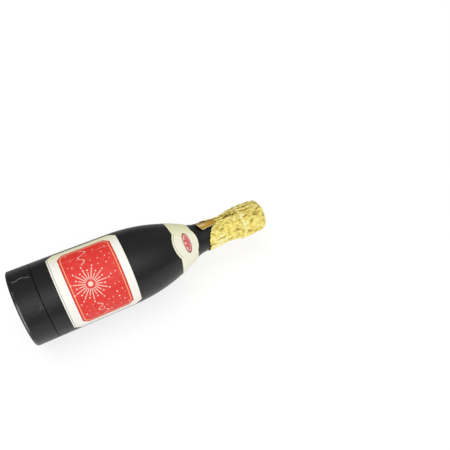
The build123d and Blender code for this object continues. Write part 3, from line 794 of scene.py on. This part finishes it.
def foil_spot(run, turn, lift):
    """A point of the foil: its run is a station up to the lip, then goes round it and into the bore."""
    if run <= lip_start:
        radius = shell_radius(run)
        slope = shell_radius(run + 1) - radius
        return off_axis(run - slope * lift, radius + lift, turn)
    if run <= lip_end:
        bend = lip_turn - (run - lip_start) / lip_round
        reach = lip_round + lift
        return off_axis(lip_middle + reach * cos(bend), bore_radius + reach * sin(bend), turn)
    return off_axis(lip_middle + lip_round + lift - (run - lip_end), bore_radius - lift * 0.3, turn)


def foil_edge(turn):
    """The station where the foil starts: it rises to a slit beside the tab and falls away behind it."""
    round_on = wrapped(turn)
    slant = slant_rise * (min(max(round_on - slant_turn, 0), 80) / (slit_turn - slant_turn)) ** 2
    behind = back_rise * swell(round_on - back_turn, 45)
    past = 1 / (1 + np.exp((slit_turn - round_on) / 1.5))
    nick = nick_rise * swell(round_on - nick_turn, 6)
    ragged = 0.3 * sin(radians(turn * 19 + 40))
    return foil_start + slant * (1 - past) + behind * past + nick + ragged


def wave(run, turn, along, round_about, phase):
    """One swell of the foil, so many times along it and round it."""
    across = turn * round_about - run * along * 0.3 + phase * 2
    return sin(radians(run * along + phase)) * cos(radians(across))


def ring_sway(turn):
    """How far the ring under the lip wanders along the bottle."""
    return 0.5 * sin(radians(turn * 3))


def crumple(run, turn, chance):
    """How far the foil stands off the bottle, with chance left out of the pleats' valleys."""
    lift = mean_lift + chance
    for height, along, round_about, phase in foil_swells:
        lift += height * wave(run, turn, along, round_about, phase)
    lift += ring_height * swell(run - ring_run - ring_sway(turn), ring_half, 4)
    lift -= groove_depth * swell(run - groove_run - ring_sway(turn), groove_half)
    lift += bunch_height * swell(run - bunch_run, 8) * swell(wrapped(turn - bunch_turn), 48)
    sunk = 0.0
    for at, middle, length, skew in pleats:
        away = wrapped(turn - at - skew * (run - middle) / length)
        fade = swell(run - middle, length, 4)
        lift += fold_height * fade * swell(away - fold_aside, fold_half)
        sunk = max(sunk, fade * swell(away, valley_half, 4))
    return lift + 0.9 * sunk * (least_lift - lift)


def gilt(name, dark, light, ridge_highlight):
    """Gold lacquered foil, with painted shade in its creases and hollows and a painted highlight on its
    ridges.
    """
    hollow_shade_brown, gold_edge = (0.07, 0.03, 0.008), (1.0, 0.84, 0.42, 1)
    material, tree, shader, place = new_finish(
        name, Metallic=0.45, Specular_IOR_Level=0.1, Specular_Tint=gold_edge,
    )
    # painted shade and highlight: crease lines and low corners take the dark colour, the lowest corners a
    # deeper brown, proud corners the pale ridge colour
    fold = add(tree, "Attribute", attribute_name="fold")["Fac"]
    drift = add(tree, "TexNoise", {"Vector": place, "Scale": 330.0, "Detail": 3.0})["Color"]
    drift = add(tree, "VectorMath", {0: drift, "Scale": 0.0022}, operation="SCALE")[0]
    drawn_out = stretch(tree, place, (0.34, 1, 1), (0.15, 0.1, 0))
    bent = add(tree, "VectorMath", {0: drawn_out, 1: drift}, operation="ADD")[0]
    wide, fine = (
        add(tree, "TexVoronoi", {"Vector": bent, "Scale": scale}, feature="DISTANCE_TO_EDGE")["Distance"]
        for scale in (440.0, 1300.0)
    )
    long_crease_shade, short_crease_shade = ramp(tree, wide, 0.0, 0.11, 1, 0), ramp(tree, fine, 0.0, 0.1, 0.3, 0)
    crease_sheen_and_shade = work_out(tree, "MAXIMUM", long_crease_shade, short_crease_shade)
    crease_sheen_and_shade = times(tree, crease_sheen_and_shade, ramp(tree, cloud(tree, place, 240.0, 3.0), 0.38, 0.62, 0.15, 1.0))
    sunk = times(tree, ramp(tree, fold, 0.15, 0.5, 1, 0), 0.65)
    shade = work_out(tree, "MAXIMUM", times(tree, crease_sheen_and_shade, 0.85), sunk, clamp=True)
    shade = times(tree, shade, ramp(tree, fold, 0.6, 1.0, 1.0, 0.2))
    gold = tint(tree, ramp(tree, fold, 0.5, 1.0), light, ridge_highlight)
    gold = tint(tree, shade, gold, dark)
    gold = tint(tree, times(tree, ramp(tree, fold, 0.02, 0.22, 1, 0), 0.8), gold, hollow_shade_brown)
    join(tree, shader.inputs, Base_Color=gold, Roughness=ramp(tree, crease_sheen_and_shade, 0.0, 1.0, 0.2, 0.45))
    small = times(tree, ramp(tree, fine, 0.0, 0.5), 0.4)
    dent(tree, shader, work_out(tree, "ADD", ramp(tree, wide, 0.0, 0.5), small), 0.32)
    return material


def mark_folds(piece, shares):
    """Keeps how proud each corner of the sheet stands, which the gold turns into painted shade in the
    hollows and a painted highlight on the ridges.
    """
    layer = piece.data.attributes.new("fold", "FLOAT", "POINT")
    layer.data.foreach_set("value", [*shares, *shares])


# corners of the facets: rows beside each pleat, on the ring, scattered, and at both edges
spots = []
for at, middle, length, skew in pleats:
    for step in np.arange(-0.9, 0.95, 1.6 / length):
        for aside in (-3.4, -1.3, 1.3, fold_aside):
            run, turn = middle + step * length, (at + skew * step + aside) % 360
            if foil_edge(turn) + 1.0 < run < lip_start + 2:
                spots.append((run, turn))
ring_spots = 80
for column in range(ring_spots):
    turn = 360 * (column + dice.uniform(0.2, 0.8)) / ring_spots
    for crest in (groove_run, 233.2, 235.0):
        spots.append((crest + ring_sway(turn) + dice.uniform(-0.2, 0.2), turn))
columns, rows, scatter_start = 68, 34, 184
for column in range(columns):
    for row in range(rows):
        turn = 360 * (column + dice.uniform(0.05, 0.95)) / columns
        run = scatter_start + (foil_end - scatter_start) * (row + dice.uniform(0.05, 0.95)) / rows
        clear = min(hypot(run - r, wrapped(turn - t) * 0.3) for r, t in spots)
        if foil_edge(turn) + 0.8 < run < foil_end - 0.7 and clear > 0.7:
            spots.append((run, turn))
edge_spots = 150
for column in range(edge_spots):
    turn = 360 * (column + dice.uniform(0.2, 0.8)) / edge_spots
    spots.append((foil_edge(turn) + dice.uniform(-0.35, 0.35), turn))
    spots.append((foil_end + dice.uniform(-0.5, 0.5), turn))

# the facets: the foil is laid flat three times side by side, so that it closes round the neck
girth, squeeze = 2 * pi * 16.0, 0.55
laid = [Vector((run * squeeze, (turn / 360 + lap) * girth)) for lap in (-1, 0, 1) for run, turn in spots]
flat_spots, _, triangles, origins, _, _ = delaunay_2d_cdt(laid, [], [], 0, 1e-7)
facets = []
for triangle in triangles:
    middle = sum((flat_spots[i] for i in triangle), Vector((0, 0))) / 3
    turn = middle.y / girth * 360
    span = max((flat_spots[i] - middle).length for i in triangle)
    if 0 <= turn < 360 and middle.x / squeeze > foil_edge(turn) - 0.1 and span < 4:
        facets.append(tuple(origins[i][0] % len(spots) for i in triangle))
lifts = [max(crumple(run, turn, dice.uniform(-0.4, 0.4)), least_lift) for run, turn in spots]
foil = closed_sheet(
    "crumpled_foil",
    [foil_spot(run, turn, lift) for (run, turn), lift in zip(spots, lifts)],
    [foil_spot(run, turn, lift - foil_thickness) for (run, turn), lift in zip(spots, lifts)],
    facets,
    gilt("crumpled_gold", (0.28, 0.12, 0.008), (1.0, 0.87, 0.24), (1.0, 0.95, 0.52)),
)
# how proud each corner stands, for the gold's painted shade and highlight; a band round the overlap at the
# top back is darkened further, painted shade
shares = []
for (run, turn), lift in zip(spots, lifts):
    painted_overlap_shade = 0.3 * swell(turn - overlap_turn, 17) * swell(max(run - overlap_run, 0), 12)
    shares.append(min(max((lift - least_lift) / 1.6 - painted_overlap_shade, 0), 1))
mark_folds(foil, shares)
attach(foil, "bottle")
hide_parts("foil_wrap")

# Tear tab: the cut end of the foil, folded down its middle like a small roof
# and laid back over the neck. Its gold is darker and more orange than the wrap's.
tab_start, tab_end, tab_turns = 185.5, 206.0, (77.0, 120.0)
tab_lift, roof_height, roof_side = 1.15, 1.7, 0.42
tab_thickness = 0.12
rows, columns = 17, 13
grid, lifts = [], []
for row in range(rows):
    for column in range(columns):
        along, side = row / (rows - 1), column / (columns - 1)
        cut = 4.0 * max(1 - side / 0.45, 0) + 2.0 * max(side - 0.6, 0)
        level = tab_start + (tab_end - tab_start) * along + cut * (1 - along)
        level += dice.uniform(-0.3, 0.3) * (0 < row < rows - 1)
        turn = tab_turns[0] + (tab_turns[1] - tab_turns[0]) * side + 10 * along * (1 - side)
        turn += dice.uniform(-0.9, 0.9) * (0 < column < columns - 1)
        roof = roof_height * (1 - abs(side - roof_side) / (1 - roof_side)) * (1 - 0.45 * along)
        grid.append((level, turn))
        lifts.append(tab_lift + roof + dice.uniform(-0.2, 0.2))
tab_faces = []
for a, b, c, d in grid_faces(rows, columns):
    tab_faces += [(a, b, c), (a, c, d)]
tab = closed_sheet(
    "folded_foil_tab",
    [on_bottle(station, turn, lift) for (station, turn), lift in zip(grid, lifts)],
    [on_bottle(station, turn, lift - tab_thickness) for (station, turn), lift in zip(grid, lifts)],
    tab_faces,
    gilt("folded_gold", (0.24, 0.1, 0.015), (0.62, 0.38, 0.06), (1.0, 0.86, 0.55)),
)
# painted shade where the tab lies low, and a painted highlight along its roof and along its edge nearest
# the front
shares = [min(max((lift - 1.1) / 1.9, 0), 1) for lift in lifts]
shares[::columns] = [1] * rows
mark_folds(tab, shares)
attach(tab, "bottle")
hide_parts("foil_tab")

# Floor, light and camera: a white table in a pale room that is brightest above
# the near side, with one soft lamp above and a little behind and one low in
# front. The camera looks down on the bottle from the near side.
table_half, table_fades = 4, (0.5, 1.6)
table_bright, table_dim, table_shown = (0.92, 0.92, 0.92), (0.4, 0.4, 0.4), (0.26, 0.26, 0.26)
shown_glow, mirrored_glow = 0.76, 0.14
room_level, room_top, room_top_power = 0.5, 1.5, 9.0
room_top_aim = (0.0, -0.56, 0.83)
lamp_size = 1.6
lamps = (("window", 11.0, (-0.4, 0.45, 1.55)), ("fill", 7.5, (-0.4, -1.5, 0.5)))
camera_place = Vector((-0.0730, -0.2809, 0.4385))
camera_aim = Vector((0.3103, 0.4792, -0.8210))
camera_roll = 0.0805

floor_mesh = bpy.data.meshes.new("table_top")
corners = [(x * table_half, y * table_half, 0) for x, y in ((-1, -1), (1, -1), (1, 1), (-1, 1))]
floor_mesh.from_pydata(corners, [], [(0, 1, 2, 3)])
floor = bpy.data.objects.new("table_top", floor_mesh)
bpy.context.scene.collection.objects.link(floor)
table_white, tree, shader, place = new_finish(
    "table_white", Roughness=0.7, Specular_IOR_Level=0.0, Emission_Color=(1, 1, 1, 1),
)
rays = add(tree, "LightPath")
# painted shade: the table's colour for bounced light is dark behind the bottle, while the camera sees it
# white
lit = ramp(tree, add(tree, "SeparateXYZ", {"Vector": place})["Y"], 0.02, 0.14, 1, 0)
away = add(tree, "VectorMath", {0: place}, operation="LENGTH")["Value"]
bounced = tint(tree, lit, table_dim, table_bright)
shown = tint(tree, ramp(tree, away, *table_fades), table_shown, (0.0, 0.0, 0.0))
# painted reflection: the near part of the table glows a little in reflections only, lifting the shadow seen
# in the bottle's underside
mirrored = times(tree, rays["Is Glossy Ray"], lit, mirrored_glow)
glow = ramp(tree, away, *table_fades, shown_glow, 1.0)
join(
    tree,
    shader.inputs,
    Base_Color=tint(tree, rays["Is Camera Ray"], bounced, shown),
    Emission_Strength=times_plus(tree, rays["Is Camera Ray"], glow, mirrored),
)
floor_mesh.materials.append(table_white)

world = bpy.data.worlds.new("soft_room")
bpy.context.scene.world = world
world.use_nodes = True
tree = world.node_tree
background = tree.nodes["Background"].inputs
background["Color"].default_value = (1, 1, 1, 1)
rays = add(tree, "LightPath")
aim = add(tree, "TexCoord")["Generated"]
facing = add(tree, "VectorMath", {0: aim, 1: room_top_aim}, operation="DOT_PRODUCT")["Value"]
facing = work_out(tree, "POWER", work_out(tree, "MAXIMUM", facing, 0.0), room_top_power)
far = add(tree, "SeparateXYZ", {"Vector": aim})["Y"]
room = minus(tree, times_plus(tree, facing, room_top, room_level), ramp(tree, far, 0.6, 1.0, 0.0, 0.3))
seen = work_out(tree, "MAXIMUM", rays["Is Camera Ray"], rays["Is Transmission Ray"])
join(tree, background, Strength=add(tree, "Mix", {"Factor": seen, "A": room, "B": 1.0})["Result"])

for name, watts, spot in lamps:
    soft = bpy.data.lights.new(name, "AREA")
    soft.size, soft.energy = lamp_size, watts
    lamp = bpy.data.objects.new(name, soft)
    bpy.context.scene.collection.objects.link(lamp)
    lamp.location = spot
    lamp.rotation_euler = (-lamp.location).to_track_quat("-Z", "Y").to_euler()
    lamp.visible_glossy = False

lens = bpy.data.cameras.new("photo_camera")
lens.sensor_width, lens.lens = 36.0, 37.635
lens.shift_x, lens.shift_y = -0.0311, 0.083
lens.clip_start, lens.clip_end = 0.01, 50
camera = bpy.data.objects.new("photo_camera", lens)
bpy.context.scene.collection.objects.link(camera)
ahead = camera_aim.normalized()
right = ahead.cross(Vector((0, 0, 1))).normalized()
rolled = Matrix.Rotation(camera_roll, 3, -ahead)
camera_axes = Matrix((rolled @ right, rolled @ right.cross(ahead), -ahead)).transposed()
camera.matrix_world = Matrix.Translation(camera_place) @ camera_axes.to_4x4()
bpy.context.scene.camera = camera
bpy.context.scene.view_settings.view_transform = "Standard"
